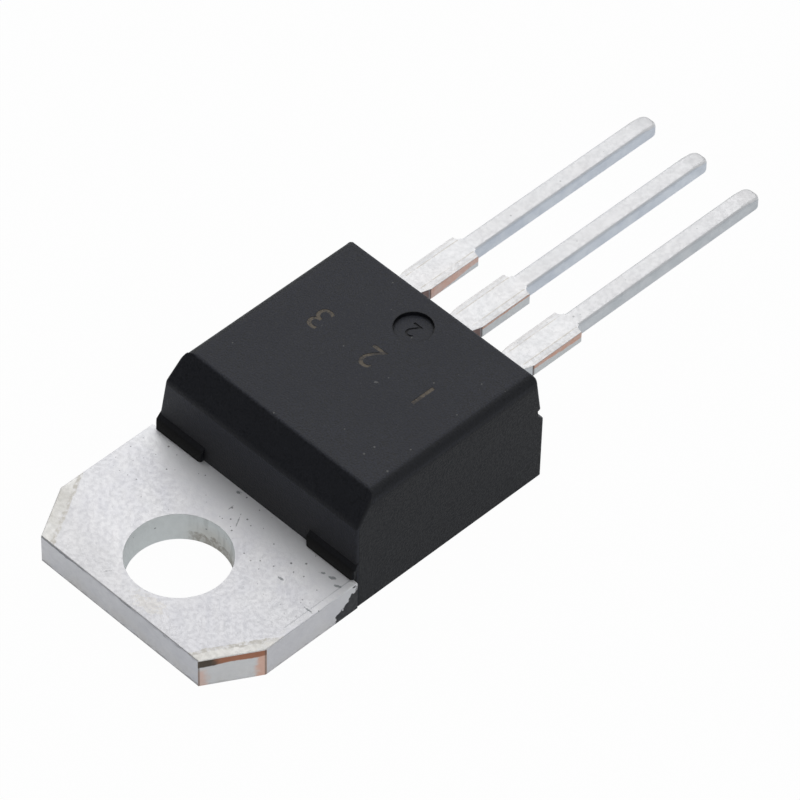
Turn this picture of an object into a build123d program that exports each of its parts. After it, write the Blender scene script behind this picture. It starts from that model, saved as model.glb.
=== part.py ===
from build123d import *
import math
import os

# Triac in a bolt-tab power package, about 28.5 mm long.
#
# One copper stamping is the bolt tab, the header that the chip sits on and the centre
# lead. Two more stamped leads start inside the moulding as bond posts. The chip is
# soldered to the header, two aluminium wires join its top to the posts, and a black
# epoxy body is moulded round the lot.
#
# Frame: the origin is on the mounting hole's axis, in the seating face. +Y runs from the
# tab to the lead tips, +Z out of the front face and +X towards lead A1. Millimetres and
# degrees.

# Bolt tab
tab_width = 10.2
tab_thickness = 1.27
tab_reach = 2.77  # hole axis to the free end
tab_cut_across = 1.19  # the cut corners, along the end
tab_cut_along = 1.99  # the cut corners, along the sides
hole_diameter = 3.8
tab_edge_break = 0.06  # rolled top edges of the stamping

# Header, the part of the stamping inside the body
header_width = 8.2
header_gap = 0.67  # its rear edge to the bond posts
header_lip = 0.45  # the top layer stands out past the coined lower edge
header_lip_thickness = 0.6
header_corner_cut = 0.9
lock_groove_width = 0.5
lock_groove_depth = 0.2
lock_groove_gap = 0.75  # shoulders to the first groove, and first to second
strap_width = 1.5  # the thin strip that climbs from the header to the centre lead
strap_run = 1.0  # how far it travels along Y while it climbs
strap_bend_radius = 0.5  # on its middle line
strap_landing = 0.8  # how far it runs on at each end, inside what it joins

# Moulded body
hole_to_body = 3.62  # hole axis to the front wall, at the tab's top
body_length = 9.1  # front wall to rear lip
body_height = 4.5
body_side_step = 0.02  # how far its sides lie inside the tab's, at the seating face
side_draft = 5.4
front_lean = 5.1  # of the steep lower front facet, from upright
facet_height = 3.48  # seating face to the break between the front facets
facet_setback = 0.93  # length of the sloping upper facet, along Y
rear_draft_upper = 4.0
rear_draft_lower = 6.5
rear_lip_step = 0.06  # the rear wall stands out by this much below the parting line
top_side_radius = 0.5
top_front_radius = 0.2
facet_radius = 0.4
rear_edge_radius = 0.15
foot_gap = 5.2  # between the two low pads on the front wall
foot_step = 0.19  # how far the pads stand out in front of the wall
foot_height = 0.35
foot_radius = 0.12
foot_inset = 0.28  # their outer ends to the body's sides
groove_depth = 0.24  # witness groove beside the leads, from the upper wall
groove_top_fall = 0.06  # how far its upper flank slopes down on its way in
groove_low_rise = 0.3  # how far its lower flank climbs
ejector_mark_diameter = 1.43
ejector_mark_depth = 0.14
ejector_mark_from_rear = 1.61
tab_bite = 0.09  # how far the full-width tab runs in under the pads

# Leads
lead_pitch = 2.54
lead_width = 0.76
lead_thickness = 0.6
lead_height = 2.43  # seating face to the underside
lead_reach = 12.92  # rear lip to the tip
lead_edge_radius = 0.16
neck_width = 1.1
stub_width = 1.32  # where the strip that joined the leads was cut away
stub_start = 1.18  # from the rear lip
stub_length = 2.31
flare_length = 0.5
wing_width = 0.27  # the stub's coined sides thin out from the middle band
wing_drop = 0.055  # on each face
step_radius = 0.12
tip_corner_radius = 0.3
tip_ramp_length = 0.7  # the last of the top face slopes down to the tip
tip_ramp_drop = 0.1
tip_bevel = 0.05  # lower edge

# Bond posts, the inner ends of the two outer leads
post_width = 2.5
post_length = 1.35
post_corner_cut = 0.3
post_setback = 0.85  # rear lip to the back of the post
post_outset = 0.25  # the post's middle lies this much outside its lead's
post_hole_diameter = 0.5  # resin fills it and locks the lead
post_hole_edge = 0.5  # the hole's middle to the post's outer side

# Chip, solder and bond wires
chip_size = 3.0
chip_thickness = 0.26
chip_from_rear = 2.35  # header's rear edge to the chip's middle
moat_inset = 0.16  # the glassed moat round the chip's top, from its sides
moat_width = 0.22
moat_depth = 0.07
solder_thickness = 0.06
solder_margin = 0.12
a1_wire_diameter = 0.38
gate_wire_diameter = 0.2
wire_loop_height = 0.62  # above the posts
wire_crest_share = 0.45  # of the way from the chip to the post
wire_bend_radius = 0.45
wire_foot_length = 0.8
wire_foot_thickness = 0.13
a1_foot_across = 0.4  # the A1 wire's foot on the chip, from the chip's middle
a1_foot_along = 0.0
gate_foot_across = 0.8
gate_foot_along = 0.6

# Places worked out from the sizes above
body_rear = hole_to_body + body_length
foot_front = hole_to_body - foot_step
shoulder = foot_front + tab_bite
body_width = tab_width - 2 * body_side_step
lead_top = lead_height + lead_thickness
lead_tip = body_rear + lead_reach
parting = lead_height
upper_wall = body_rear - rear_lip_step
stub_front = body_rear + stub_start
stub_rear = stub_front + stub_length
post_rear = body_rear - post_setback
post_middle = post_rear - post_length / 2
header_rear = post_rear - post_length - header_gap
chip_y = header_rear - chip_from_rear
chip_base = tab_thickness + solder_thickness
chip_top = chip_base + chip_thickness
big = 2 * (lead_tip + tab_reach)  # longer than the part, for cutting tools


def corners(shape, x, y):
    """The corners of a flat shape at (x, y) and at its mirror image."""
    return [v for v in shape.vertices() if abs(abs(v.X) - x) < 1e-5 and abs(v.Y - y) < 1e-5]


def mirrored_outline(right_side):
    """A face from the points of its right side, in order, and their mirror images."""
    left_side = [(-x, y) for x, y in reversed(right_side)]
    return make_face(Polyline(*right_side, *left_side, close=True))


def side_prism(points, width):
    """A prism across the part from (y, z) points, half to each side of its middle."""
    return extrude(Plane.YZ * make_face(Polyline(*points, close=True)), width / 2, both=True)


# ---- Leads ----


def lead_shaft():
    """The long thin end of a lead, with rolled top edges and a blunt tip."""
    half = lead_width / 2
    length = lead_tip - stub_rear
    plan = mirrored_outline([(half, stub_rear), (half, lead_tip)])
    plan = fillet(corners(plan, half, lead_tip), tip_corner_radius)
    section = Pos(0, lead_thickness / 2) * Rectangle(lead_width, lead_thickness)
    section = fillet(corners(section, half, lead_thickness), lead_edge_radius)
    side = side_prism([
        (stub_rear, 0),
        (stub_rear, lead_thickness),
        (lead_tip - tip_ramp_length, lead_thickness),
        (lead_tip, lead_thickness - tip_ramp_drop),
        (lead_tip, tip_bevel),
        (lead_tip - tip_bevel, 0),
    ], lead_width)
    return extrude(plan, lead_thickness) & Plane.XZ.offset(-lead_tip) * extrude(section, length) & side


def lead_neck():
    """The plain length of a lead from its bond post to the flare."""
    half = neck_width / 2
    plan = mirrored_outline([(half, post_rear - post_corner_cut), (half, stub_front - flare_length)])
    return extrude(plan, lead_thickness)


def lead_stub():
    """The flare and the wide stub of a lead, with its coined wings."""
    half_stub, half = stub_width / 2, lead_width / 2
    plan = mirrored_outline([
        (neck_width / 2, stub_front - flare_length),
        (half_stub, stub_front),
        (half_stub, stub_rear),
        (half, stub_rear),
        (half, stub_rear + 1.01 * step_radius),
    ])
    plan = fillet(corners(plan, half, stub_rear), step_radius)
    section = mirrored_outline([
        (half_stub - wing_width, 0),
        (half_stub, wing_drop),
        (half_stub, lead_thickness - wing_drop),
        (half_stub - wing_width, lead_thickness),
    ])
    coined = extrude(section, stub_rear - stub_front + 2 * flare_length)
    return extrude(plan, lead_thickness) & Plane.XZ.offset(-stub_rear - flare_length) * coined


def outer_lead():
    """One lead outside the body, with its underside on z = 0 and its middle on x = 0."""
    return lead_neck() + lead_stub() + lead_shaft()


def post_lead(side):
    """An outer lead with its bond post. side is +1 for A1 and -1 for the gate."""
    middle = side * post_outset
    post = Pos(middle, post_middle) * Rectangle(post_width, post_length)
    post = chamfer(post.vertices(), post_corner_cut)
    hole_x = middle + side * (post_width / 2 - post_hole_edge)
    post -= Pos(hole_x, post_rear - post_hole_edge) * Circle(post_hole_diameter / 2)
    lead = outer_lead() + extrude(post, lead_thickness)
    return Pos(side * lead_pitch, 0, lead_height) * lead


# ---- Tab, header and centre lead ----


def tab_plate():
    """The exposed tab, with its cut corners and its mounting hole."""
    half = tab_width / 2
    plate = extrude(mirrored_outline([
        (half - tab_cut_across, -tab_reach),
        (half, -tab_reach + tab_cut_along),
        (half, shoulder),
    ]), tab_thickness)
    top = plate.faces().sort_by(Axis.Z)[-1]
    rolled = top.edges().filter_by(lambda e: e.center().Y < shoulder - 1e-4)
    plate = chamfer(rolled, tab_edge_break)
    return plate - extrude(Circle(hole_diameter / 2), tab_thickness)


def header_plan(width):
    """The header from just inside the tab to its rear edge, with its rear corners cut."""
    half = width / 2
    return mirrored_outline([
        (half, shoulder - tab_thickness),
        (half, header_rear - header_corner_cut),
        (half - header_corner_cut, header_rear),
    ])


def header():
    """The chip's seat: a wide top layer over a coined, narrower exposed face."""
    seat = extrude(header_plan(header_width - 2 * header_lip), tab_thickness)
    lip = extrude(header_plan(header_width), header_lip_thickness)
    seat += Pos(0, 0, tab_thickness - header_lip_thickness) * lip
    half = lock_groove_width / 2
    for count in (1, 2):
        groove_y = shoulder + count * lock_groove_gap
        seat -= side_prism([
            (groove_y - half, tab_thickness),
            (groove_y, tab_thickness - lock_groove_depth),
            (groove_y + half, tab_thickness),
        ], big)
    return seat


def strap():
    """The thin strip that climbs from the header's top layer to the centre lead."""
    low = tab_thickness - lead_thickness / 2
    high = lead_height + lead_thickness / 2
    climb_start = header_rear + strap_bend_radius / 2
    climb_end = climb_start + strap_run
    path = FilletPolyline(
        (header_rear - strap_landing, low),
        (climb_start, low),
        (climb_end, high),
        (climb_end + strap_landing, high),
        radius=strap_bend_radius,
    )
    return extrude(Plane.YZ * trace(path, lead_thickness), strap_width / 2, both=True)


def heat_tab():
    """Tab, header, strap and centre lead: one stamping."""
    return tab_plate() + header() + strap() + Pos(0, 0, lead_height) * outer_lead()


# ---- Chip, solder and bond wires ----


def chip():
    """The silicon chip, with the moat that guards its junctions round its top face."""
    outer = chip_size - 2 * moat_inset
    inner = outer - 2 * moat_width
    moat = Rectangle(outer, outer) - Rectangle(inner, inner)
    blank = extrude(Rectangle(chip_size, chip_size), chip_thickness)
    blank -= Pos(0, 0, chip_thickness - moat_depth) * extrude(moat, moat_depth)
    return Pos(0, chip_y, chip_base) * blank


def solder():
    """The solder layer under the chip."""
    side = chip_size + 2 * solder_margin
    pad = fillet(Rectangle(side, side).vertices(), solder_margin)
    return Pos(0, chip_y, tab_thickness) * extrude(pad, solder_thickness)


def bond_wire(diameter, start, end):
    """A wedge-bonded wire: a flat foot on the chip, a loop, and a flat foot on the post."""
    run = math.dist(start, end)
    angle = math.degrees(math.atan2(end[1] - start[1], end[0] - start[0]))
    crest = lead_top + wire_loop_height
    low = chip_top + wire_foot_thickness / 2
    high = lead_top + wire_foot_thickness / 2
    path = FilletPolyline(
        (0, low),
        (wire_foot_length / 2 + diameter, low),
        (wire_crest_share * run, crest),
        (run - wire_foot_length / 2 - diameter, high),
        (run, high),
        radius=wire_bend_radius,
    )
    line = Plane.XZ * path
    wire = sweep(Plane(line @ 0, z_dir=line % 0) * Circle(diameter / 2), path=line)
    pad = fillet(Rectangle(wire_foot_length, 1.5 * diameter).vertices(), 0.5 * diameter)
    under = extrude(Rectangle(2 * wire_foot_length, 3 * diameter), -diameter)
    for place, base in ((0, chip_top), (run, lead_top)):
        wire -= Pos(place, 0, base) * under
        wire += Pos(place, 0, base) * extrude(pad, wire_foot_thickness)
    return Pos(start[0], start[1], 0) * Rot(0, 0, angle) * wire


def a1_bond_wire():
    """The thick wire from the chip's main top contact to the A1 post."""
    start = (a1_foot_across, chip_y + a1_foot_along)
    return bond_wire(a1_wire_diameter, start, (lead_pitch, post_middle))


def gate_bond_wire():
    """The thin wire from the chip's gate contact to the gate post."""
    start = (-gate_foot_across, chip_y + gate_foot_along)
    return bond_wire(gate_wire_diameter, start, (-lead_pitch, post_middle))


# ---- Moulded body ----


def side_section():
    """The body seen from its end: drafted sides and rounded top corners."""
    half_base = body_width / 2
    half_top = half_base - body_height * math.tan(math.radians(side_draft))
    section = mirrored_outline([(half_base, 0), (half_top, body_height)])
    section = fillet(corners(section, half_top, body_height), top_side_radius)
    return extrude(Plane.XZ * section, big / 2, both=True)


def body_profile(rear_wall):
    """The body seen from its side: two front facets and a rear wall, its top point first."""
    lean = math.tan(math.radians(front_lean))
    break_y = hole_to_body + lean * (facet_height - tab_thickness)
    top_y = break_y + facet_setback
    profile = make_face(Polyline(
        (hole_to_body - lean * tab_thickness, 0),
        (break_y, facet_height),
        (top_y, body_height),
        *rear_wall,
        close=True,
    ))
    profile = fillet(corners(profile, break_y, facet_height), facet_radius)
    profile = fillet(corners(profile, top_y, body_height), top_front_radius)
    return extrude(Plane.YZ * profile, big / 2, both=True)


def round_rear(half):
    """One half of the body with its rear wall's edges rounded, but for those at z = 0."""
    middle = hole_to_body + body_length / 2
    edges = half.edges().filter_by(
        lambda e: e.center().Y > middle
        and abs(e.tangent_at(0.5).Y) < 0.9
        and (abs(e.tangent_at(0.5).X) < 0.99 or e.center().Z > body_height - 1e-4)
    )
    return fillet(edges, rear_edge_radius)


def upper_half():
    """The body above the parting line."""
    top_y = upper_wall - (body_height - parting) * math.tan(math.radians(rear_draft_upper))
    half = body_profile([(top_y, body_height), (upper_wall, parting), (upper_wall, 0)]) & side_section()
    return round_rear(split(half, Plane.XY.offset(parting), keep=Keep.TOP))


def lower_half():
    """The body below the parting line."""
    base_y = body_rear - parting * math.tan(math.radians(rear_draft_lower))
    half = body_profile([(body_rear, body_height), (body_rear, parting), (base_y, 0)]) & side_section()
    return round_rear(split(half, Plane.XY.offset(parting), keep=Keep.BOTTOM))


def feet():
    """The low pads at the outer ends of the front wall, where it meets the tab."""
    reach = 2 * foot_height
    top = tab_thickness + foot_height
    ramp = side_prism([
        (foot_front, 0),
        (foot_front, top),
        (foot_front + reach, top + reach),
        (foot_front + reach, 0),
    ], big)
    inner, outer = foot_gap / 2, body_width / 2 - foot_inset
    plan = Pos((inner + outer) / 2, foot_front + reach / 2) * Rectangle(outer - inner, reach)
    front = corners(plan, inner, foot_front) + corners(plan, outer, foot_front)
    plan = fillet(front, foot_radius)
    plan += mirror(plan, Plane.YZ)
    return extrude(plan, big) & ramp & side_section()


def parting_groove():
    """The witness groove across the rear wall, as high as the leads are thick."""
    apex_y = upper_wall - groove_depth
    flank = body_rear - apex_y
    return side_prism([
        (apex_y, lead_top - groove_top_fall),
        (upper_wall + groove_depth, lead_top + groove_top_fall),
        (body_rear + flank, lead_height - groove_low_rise),
        (apex_y, lead_height + groove_low_rise),
    ], big)


def moulded_body(inside):
    """The epoxy body, moulded round the pieces inside it."""
    body = upper_half() + lower_half() + feet() - parting_groove()
    mark = Pos(0, body_rear - ejector_mark_from_rear, body_height - ejector_mark_depth)
    body -= mark * extrude(Circle(ejector_mark_diameter / 2), 2 * ejector_mark_depth)
    for piece in inside:
        body -= piece
    return body


def main():
    os.makedirs("parts", exist_ok=True)
    inside = {
        "heat_tab": heat_tab(),
        "lead_a1": post_lead(1),
        "lead_gate": post_lead(-1),
        "triac_chip": chip(),
        "chip_solder": solder(),
        "a1_bond_wire": a1_bond_wire(),
        "gate_bond_wire": gate_bond_wire(),
    }
    pieces = {"moulded_body": moulded_body(inside.values()), **inside}
    for name, piece in pieces.items():
        export_step(piece, f"parts/{name}.step")


main()
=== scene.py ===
import math

import bmesh
import bpy
from mathutils import Matrix, Vector


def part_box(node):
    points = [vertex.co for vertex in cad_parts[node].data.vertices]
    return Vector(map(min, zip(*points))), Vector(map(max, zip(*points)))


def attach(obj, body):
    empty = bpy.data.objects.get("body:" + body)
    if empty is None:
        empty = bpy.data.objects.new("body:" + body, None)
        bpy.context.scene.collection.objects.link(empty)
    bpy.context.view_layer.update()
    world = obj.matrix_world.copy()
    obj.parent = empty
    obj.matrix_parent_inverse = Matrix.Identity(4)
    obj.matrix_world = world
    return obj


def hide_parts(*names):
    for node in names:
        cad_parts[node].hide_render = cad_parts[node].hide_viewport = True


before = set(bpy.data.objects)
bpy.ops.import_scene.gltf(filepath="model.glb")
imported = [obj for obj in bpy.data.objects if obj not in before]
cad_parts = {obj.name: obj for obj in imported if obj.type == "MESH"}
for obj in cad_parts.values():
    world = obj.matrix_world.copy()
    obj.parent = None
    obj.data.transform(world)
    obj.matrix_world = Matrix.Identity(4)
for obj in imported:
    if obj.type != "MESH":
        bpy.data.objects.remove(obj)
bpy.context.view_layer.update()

# Every piece is shaped in millimetres and brought to metres when it is done.
MM = 0.001
HAIR = 1e-4  # how close counts as lying in a plane
TOUCH = HAIR / 10  # how close counts as one point
BEYOND = 0.5  # how far a cutting tool stands past what it cuts
SQUARE = 0.9  # a direction with more than this share of an axis runs along it
BODY_SHARP, TAB_SHARP, LEAD_SHARP = 35, 25, 30  # degrees between faces above which an edge looks sharp


def box_mm(node):
    """A frame node's lowest and highest corners, in millimetres."""
    low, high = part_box(node)
    return Vector(low) / MM, Vector(high) / MM


TAB_LOW, TAB_HIGH = box_mm("heat_tab")
BODY_HIGH = box_mm("moulded_body")[1]
LEAD_LOW, LEAD_HIGH = box_mm("lead_a1")

# Bolt tab
TAB_HALF = TAB_HIGH.x
TAB_END = TAB_LOW.y
TAB_TOP = 1.27
TAB_ROLL = 0.06  # the width of the roll along its top edge
CUT_ACROSS, CUT_ALONG = 1.19, 1.99
CUT_RUN = math.hypot(CUT_ACROSS, CUT_ALONG)
HOLE_RADIUS = 1.9
HOLE_ROLL = 0.025
TORN_ZONE = 0.42  # a punch tears the last of the hole's wall instead of cutting it
SHOULDER = 3.52
HEADER_HALF = 3.65
HEADER_REAR = 10.03
HEADER_CUT = 0.9
HEADER_DEPTH = 0.66  # how far the body is open over the header's underside

# Moulded body
BODY_TOP = BODY_HIGH.z
BODY_REAR = BODY_HIGH.y
BODY_HALF = BODY_HIGH.x
BLOCK_FRONT, BLOCK_REAR = 3.0, 13.0  # the starting block's ends, clear of the walls
BODY_MIDDLE = (BLOCK_FRONT + BLOCK_REAR) / 2
FRONT_WALL = 3.62  # at the tab's top
FACET_HEIGHT = 3.48
FACET_SETBACK = 0.93
SIDE_SLOPE = math.tan(math.radians(5.4))
FRONT_SLOPE = math.tan(math.radians(5.1))
UPPER_REAR_SLOPE = math.tan(math.radians(4.0))
LOWER_REAR_SLOPE = math.tan(math.radians(6.5))
REAR_LIP_STEP = 0.06
GROOVE_HALF, GROOVE_DEPTH = 6, 0.24  # the bar that cuts it stands past the body's sides
GROOVE_FLOOR, GROOVE_ROOF = 0.3, 0.06  # in from the leads' underside and top
GROOVE_MOUTH = 0.3  # how far behind the body its widths are taken
GROOVE_DOWN, GROOVE_UP = 0.6, 0.13  # how much wider it is there
SIDE_ROLL = 0.46  # along the top's sides: the widest of the body's rolled edges
REAR_ROLL, FACET_ROLL, BREAK_ROLL, BASE_ROLL = 0.16, 0.10, 0.14, 0.05
FRONT_CORNER, REAR_CORNER = 0.12, 0.15
FOOT_REACH, FOOT_RISE, FOOT_INNER, FOOT_INSET = 0.19, 0.35, 2.6, 0.04
FOOT_BASE, FOOT_LENGTH, FOOT_RAMP = 1.0, 0.8, 0.4
FOOT_CORNER, FOOT_ROLL = 0.12, 0.1
MARK_RADIUS = 0.715
MARK_DEPTH = 0.14
MARK_ROLL = 0.025
MARK_Y = BODY_REAR - 1.61
MARK_DIGIT_SIZE, MARK_DIGIT_DEPTH = 0.95, 0.03
DIGIT_SIZE = 1.5
DIGIT_DEPTH = 0.012
DIGITS_Y = BODY_REAR - 3.6

# Leads
PITCH = 2.54
LEAD_UNDER, LEAD_TOP = LEAD_LOW.z, LEAD_HIGH.z
LEAD_TIP = LEAD_HIGH.y
MIDDLE_Z = (LEAD_UNDER + LEAD_TOP) / 2
SHAFT_HALF = 0.38
TOP_ROLL, UNDER_ROLL = 0.16, 0.05
NECK_HALF = 0.55
STUB_HALF = 0.66
STUB_FRONT = BODY_REAR + 1.18
STUB_REAR = STUB_FRONT + 2.31
STUB_ROLL, WING_CORNER = 0.03, 0.02
FLARE = 0.5
WING_WIDTH = 0.27
WING_DROP = 0.055
WING_INNER = STUB_HALF - WING_WIDTH
WEB = 0.14  # the short neck behind the stub, with hollow corners
TIP_RAMP = 0.7
TIP_DROP = 0.1
TIP_RADIUS = 0.3
SHAFT_OVERLAP = 0.4  # how far the shaft starts inside the stub
CUT_START, CUT_STEP, CUT_COUNT = 0.5, 0.8, 17  # cross cuts that keep a lead's faces short
POST_REAR = BODY_REAR - 0.85
POST_HALF, POST_LENGTH, POST_CORNER, POST_ASIDE = 1.25, 1.35, 0.3, 0.25
STRAP_HALF, STRAP_OVERLAP, STRAP_BEND = 0.75, 0.8, 0.25
STRAP_FOOT, STRAP_CREST = HEADER_REAR + 0.2, HEADER_REAR + 1.1


# ---- Modelling ----


def pick_all():
    bpy.ops.mesh.select_all(action="SELECT")


def open_up(piece, name):
    """Names a new piece and leaves it open for shaping."""
    bpy.ops.object.transform_apply(location=True, rotation=False, scale=True)
    piece.name = piece.data.name = name
    bpy.ops.object.mode_set(mode="EDIT")
    return piece


def start_block(name, low, high):
    """A block between two corners, left open for shaping."""
    bpy.ops.object.select_all(action="DESELECT")
    low, high = Vector(low), Vector(high)
    bpy.ops.mesh.primitive_cube_add(size=1, location=(low + high) / 2, scale=high - low)
    return open_up(bpy.context.object, name)


def start_disc(name, radius, low, high, sides=96):
    """An upright round bar between two heights, on the z axis, left open for shaping."""
    bpy.ops.object.select_all(action="DESELECT")
    bpy.ops.mesh.primitive_cylinder_add(
        vertices=sides, radius=radius, depth=high - low, location=(0, 0, (low + high) / 2))
    return open_up(bpy.context.object, name)


def edge_place(edge):
    """An edge's middle and direction."""
    first, last = (end.co for end in edge.verts)
    return (first + last) / 2, (last - first).normalized()


def pick(kind, test):
    """Selects the open mesh's parts of one kind whose middle and direction pass a test."""
    bpy.ops.mesh.select_mode(type=kind)
    bpy.ops.mesh.select_all(action="DESELECT")
    mesh = bpy.context.edit_object.data
    shape = bmesh.from_edit_mesh(mesh)
    if kind == "VERT":
        parts = [(v, v.co, None) for v in shape.verts]
    elif kind == "EDGE":
        parts = [(e, *edge_place(e)) for e in shape.edges]
    else:
        parts = [(f, f.calc_center_median(), f.normal) for f in shape.faces]
    chosen = [part for part, middle, way in parts if test(middle, way)]
    for part in chosen:
        part.select_set(True)
    shape.select_flush_mode()
    bmesh.update_edit_mesh(mesh)
    return len(chosen)


def near(a, b, slack=HAIR):
    return abs(a - b) < slack


def cut_across(axis, *places):
    """Cuts the open mesh square to an axis at each place."""
    for place in places:
        pick_all()
        at, way = [0.0] * 3, [0.0] * 3
        at[axis], way[axis] = place, 1.0
        bpy.ops.mesh.bisect(plane_co=at, plane_no=way, threshold=TOUCH)


def slide(*way):
    bpy.ops.transform.translate(value=way)


def stretch(*factors):
    bpy.ops.transform.resize(value=factors, center_override=(0, 0, 0))


def pull_out(*way):
    """Extrudes the selected faces."""
    bpy.ops.mesh.extrude_region_move(TRANSFORM_OT_translate={"value": way})


def round_off(width, segments, test):
    """Rounds the edges that pass a test."""
    if pick("EDGE", test):
        bpy.ops.mesh.bevel(offset=width, segments=segments, affect="EDGES", clamp_overlap=True)


def set_rounding(share, test):
    """Sets how much of the rounding modifier's width the edges that pass a test get."""
    mesh = bpy.context.edit_object.data
    shape = bmesh.from_edit_mesh(mesh)
    layers = shape.edges.layers.float
    layer = layers.get("bevel_weight_edge") or layers.new("bevel_weight_edge")
    for edge in shape.edges:
        if test(*edge_place(edge)):
            edge[layer] = share
    bmesh.update_edit_mesh(mesh)


def weld(gap):
    """Merges the open mesh's points that lie closer than a gap."""
    bpy.ops.mesh.select_mode(type="VERT")
    pick_all()
    bpy.ops.mesh.remove_doubles(threshold=gap)


def close_up(piece):
    """Merges what lies together, turns the faces outwards and leaves edit mode."""
    weld(TOUCH)
    bpy.ops.mesh.normals_make_consistent(inside=False)
    bpy.ops.object.mode_set(mode="OBJECT")
    return piece


def alone(piece):
    bpy.ops.object.select_all(action="DESELECT")
    piece.select_set(True)
    bpy.context.view_layer.objects.active = piece


def apply_modifier(piece, kind, **settings):
    """Adds a modifier with its settings and applies it."""
    alone(piece)
    modifier = piece.modifiers.new(kind.lower(), kind)
    for key, value in settings.items():
        setattr(modifier, key, value)
    bpy.ops.object.modifier_apply(modifier=modifier.name)


def carve(piece, tool, how="DIFFERENCE"):
    """Cuts a tool out of a piece, or adds it, and throws the tool away."""
    apply_modifier(piece, "BOOLEAN", object=tool, operation=how, solver="EXACT")
    bpy.data.objects.remove(tool)


def reopen(piece):
    alone(piece)
    bpy.ops.object.mode_set(mode="EDIT")


def shade(piece, angle):
    """Smooth shading that keeps edges sharp above an angle in degrees."""
    alone(piece)
    bpy.ops.object.shade_smooth_by_angle(angle=math.radians(angle))
    apply_modifier(piece, "WEIGHTED_NORMAL", keep_sharp=True, weight=50)


def hand_over(piece, nodes, material):
    """Brings a finished piece to metres, gives it its material, hangs it on the root and hides the frame
    nodes it stands for.
    """
    alone(piece)
    piece.scale = (MM, MM, MM)
    bpy.ops.object.transform_apply(location=True, rotation=False, scale=True)
    piece.data.materials.clear()
    piece.data.materials.append(material)
    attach(piece, "root")
    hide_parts(*nodes)


# ---- Pieces ----


def front_wall_at(z):
    """Where the body's front stands at a height."""
    if z <= FACET_HEIGHT:
        return FRONT_WALL + FRONT_SLOPE * (z - TAB_TOP)
    break_y = FRONT_WALL + FRONT_SLOPE * (FACET_HEIGHT - TAB_TOP)
    return break_y + FACET_SETBACK * (z - FACET_HEIGHT) / (BODY_TOP - FACET_HEIGHT)


def rear_wall_at(z):
    """Where the body's rear wall stands at a height."""
    if z <= LEAD_UNDER:
        return BODY_REAR - LOWER_REAR_SLOPE * (LEAD_UNDER - z)
    return BODY_REAR - REAR_LIP_STEP - UPPER_REAR_SLOPE * (z - LEAD_UNDER)


def body_half_at(z):
    return BODY_HALF - SIDE_SLOPE * z


def make_body_block():
    """The body's main form with its facets and drafts, before its edges are rounded."""
    block = start_block("moulding", (-BODY_HALF, BLOCK_FRONT, 0), (BODY_HALF, BLOCK_REAR, BODY_TOP))
    levels = (0, LEAD_UNDER, LEAD_TOP, FACET_HEIGHT, BODY_TOP)
    cut_across(2, *levels[1:-1])
    for z in levels:
        for end, wall in ((BLOCK_FRONT, front_wall_at(z)), (BLOCK_REAR, rear_wall_at(z))):
            pick("VERT", lambda at, way: near(at.z, z) and near(at.y, end))
            slide(0, wall - end, 0)
        pick("VERT", lambda at, way: near(at.z, z))
        stretch(body_half_at(z) / BODY_HALF, 1, 1)
    return block


def round_body(block):
    """Rounds the body's edges, each by its own width."""
    def front(at):
        return at.y < BODY_MIDDLE

    def upright(way):
        return abs(way.z) > 0.3

    def across(at, way, z):
        return near(at.z, z) and abs(way.x) > SQUARE

    for width, test in (
            (FRONT_CORNER, lambda at, way: upright(way) and front(at)),
            (REAR_CORNER, lambda at, way: upright(way) and not front(at)),
            (REAR_ROLL, lambda at, way: across(at, way, BODY_TOP) and not front(at)),
            (FACET_ROLL, lambda at, way: across(at, way, BODY_TOP) and front(at)),
            (BREAK_ROLL, lambda at, way: across(at, way, FACET_HEIGHT) and front(at)),
            (SIDE_ROLL, lambda at, way: near(at.z, BODY_TOP) and abs(way.y) > SQUARE),
            (BASE_ROLL, lambda at, way: near(at.z, 0))):
        set_rounding(width / SIDE_ROLL, test)
    close_up(block)
    apply_modifier(block, "BEVEL", limit_method="WEIGHT", width=SIDE_ROLL, segments=6,
                   use_clamp_overlap=False, loop_slide=True)


def make_groove_tool():
    """The bar that cuts the witness groove beside the leads."""
    depth = BODY_REAR - REAR_LIP_STEP - GROOVE_DEPTH
    floor, roof = LEAD_UNDER + GROOVE_FLOOR, LEAD_TOP - GROOVE_ROOF
    tool = start_block("groove_tool", (-GROOVE_HALF, depth, floor),
                       (GROOVE_HALF, BODY_REAR + GROOVE_MOUTH, roof))
    for level, way_out in ((floor, -GROOVE_DOWN), (roof, GROOVE_UP)):
        pick("VERT", lambda at, way: at.y > BODY_REAR and near(at.z, level))
        slide(0, 0, way_out)
    return close_up(tool)


def make_foot(side):
    """One of the low pads on the front wall, standing on the tab."""
    front, top = FRONT_WALL - FOOT_REACH, TAB_TOP + FOOT_RISE
    outer = body_half_at(top) - FOOT_INSET
    foot = start_block("foot", (FOOT_INNER, front, FOOT_BASE), (outer, front + FOOT_LENGTH, top))
    pick("FACE", lambda at, way: way.z > SQUARE)
    pull_out(0, 0, FOOT_RAMP)
    pick("VERT", lambda at, way: at.z > top + HAIR and near(at.y, front))
    slide(0, FOOT_RAMP, 0)
    round_off(FOOT_CORNER, 4, lambda at, way: abs(way.z) > SQUARE and near(at.y, front))
    round_off(FOOT_ROLL, 3, lambda at, way: near(at.z, top, 0.02) and at.y < front + FOOT_LENGTH / 3)
    if side < 0:
        pick_all()
        stretch(-1, 1, 1)
    return close_up(foot)


def make_header_tool():
    """The shape of the copper that shows in the body's underside."""
    tool = start_block("header_tool", (-HEADER_HALF, BLOCK_FRONT, -BEYOND),
                       (HEADER_HALF, HEADER_REAR, HEADER_DEPTH))
    round_off(HEADER_CUT, 1, lambda at, way: abs(way.z) > SQUARE and near(at.y, HEADER_REAR))
    return close_up(tool)


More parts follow.
